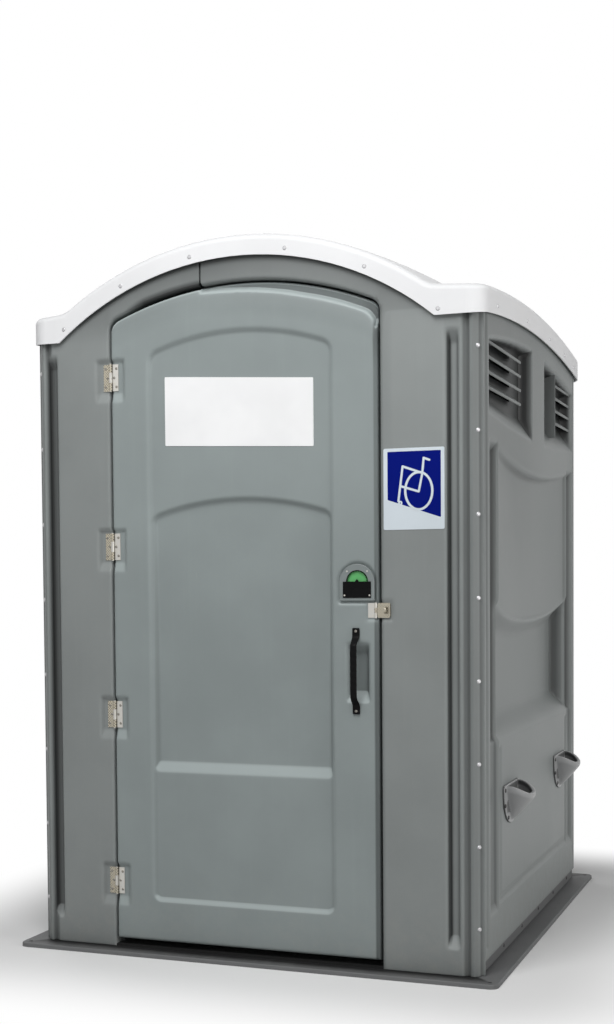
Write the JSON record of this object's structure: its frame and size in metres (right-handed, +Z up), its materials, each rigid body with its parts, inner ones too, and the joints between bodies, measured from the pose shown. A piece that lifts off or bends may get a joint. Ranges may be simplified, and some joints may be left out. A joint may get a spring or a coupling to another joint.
{
  "type": "portable toilet cabin",
  "caption": "Portable toilet cabin with an arched roof, louvred side walls, a hinged door with an indicator latch and hasp, and a tank with a hinged seat and lid.",
  "frame": {"origin": "on the ground under the middle of the base pan", "axes": "+Z up, +X to the right seen from the door side, the door faces -Y"},
  "size_m": [1.6982, 1.76, 2.3838],
  "materials": {
    "wall_plastic": "satin moulded",
    "base_plastic": "satin moulded",
    "roof_plastic": "satin, slightly translucent",
    "strip_plastic": "satin",
    "door_plastic": "satin moulded",
    "cup_plastic": "satin moulded",
    "tank_plastic": "satin moulded",
    "pipe_plastic": "smooth",
    "black_plastic": "satin",
    "gear_plastic": "natural",
    "dial_plastic": "smooth",
    "rivet_metal": "satin",
    "rail_metal": "brushed",
    "steel": "satin"
  },
  "bodies": {
    "cabin": {"base_pan": "base_plastic", "front_left_panel": "wall_plastic", "front_right_panel": "wall_plastic", "right_wall": "wall_plastic", "left_wall": "wall_plastic", "rear_wall": "wall_plastic", "roof": "roof_plastic", "eave_strips": "strip_plastic", "roof_rivets": "rivet_metal", "corner_rivets": "rivet_metal", "base_rivets": "rivet_metal", "lifting_cup_right_front": "cup_plastic", "lifting_cup_right_rear": "cup_plastic", "lifting_cup_left_front": "cup_plastic", "lifting_cup_left_rear": "cup_plastic", "cup_bolts": "steel", "waste_tank": "tank_plastic", "tank_deck": "tank_plastic", "seat_hinge": "black_plastic", "vent_pipe": "pipe_plastic", "vent_cap": "pipe_plastic", "paper_holder": "black_plastic", "side_grab_rail_right": "rail_metal", "side_grab_rail_left": "rail_metal", "rear_grab_rail": "rail_metal", "rail_screws": "steel", "hinge_frame_leaf_1": "steel", "hinge_frame_leaf_2": "steel", "hinge_frame_leaf_3": "steel", "hinge_frame_leaf_4": "steel", "hinge_pins": "steel", "hinge_frame_screws": "steel", "keeper_plate": "steel", "keeper_screws": "steel", "hasp_staple": "steel"},
    "door": {"door_outer_panel": "door_plastic", "door_inner_panel": "door_plastic", "hinge_door_leaf_1": "steel", "hinge_door_leaf_2": "steel", "hinge_door_leaf_3": "steel", "hinge_door_leaf_4": "steel", "hinge_door_screws": "steel", "door_handle": "black_plastic", "handle_screws": "steel", "inner_pull": "black_plastic", "latch_bezel": "black_plastic", "indicator_cover": "black_plastic", "indicator_rivets": "rivet_metal", "latch_case": "black_plastic", "hasp_base": "steel", "hasp_pin": "steel"},
    "bolt": {"latch_bolt": "black_plastic"},
    "dial": {"indicator_dial": "dial_plastic", "dial_pinion": "gear_plastic"},
    "strap": {"hasp_strap": "steel"},
    "seat": {"toilet_seat": "tank_plastic"},
    "lid": {"toilet_lid": "tank_plastic"}
  },
  "joints": [
    {"name": "door_swing", "type": "hinge", "parent": "cabin", "child": "door", "pos_m": [-0.4865, -0.8115, 1.072], "axis": [0, 0, -1], "range_deg": [0, 92]},
    {"name": "bolt_slide", "type": "slide", "parent": "door", "child": "bolt", "axis": [1, 0, 0], "range_m": [0, 0.02513]},
    {"name": "dial_turn", "type": "hinge", "parent": "door", "child": "dial", "pos_m": [0.373, -0.8, 1.229], "axis": [0, -1, 0], "range_deg": [0, 180]},
    {"name": "hasp_swing", "type": "hinge", "parent": "door", "child": "strap", "pos_m": [0.431, -0.817, 1.139], "axis": [0, 0, -1], "range_deg": [0, 160]},
    {"name": "seat_swing", "type": "hinge", "parent": "cabin", "child": "seat", "pos_m": [-0.3, 0.655, 0.47], "axis": [-1, 0, 0], "range_deg": [0, 85]},
    {"name": "lid_swing", "type": "hinge", "parent": "cabin", "child": "lid", "pos_m": [-0.3, 0.655, 0.47], "axis": [-1, 0, 0], "range_deg": [-95, 0]}
  ],
  "couplings": [
    {"joint": "dial_turn", "follows": "bolt_slide", "rad_per_m": 125}
  ]
}
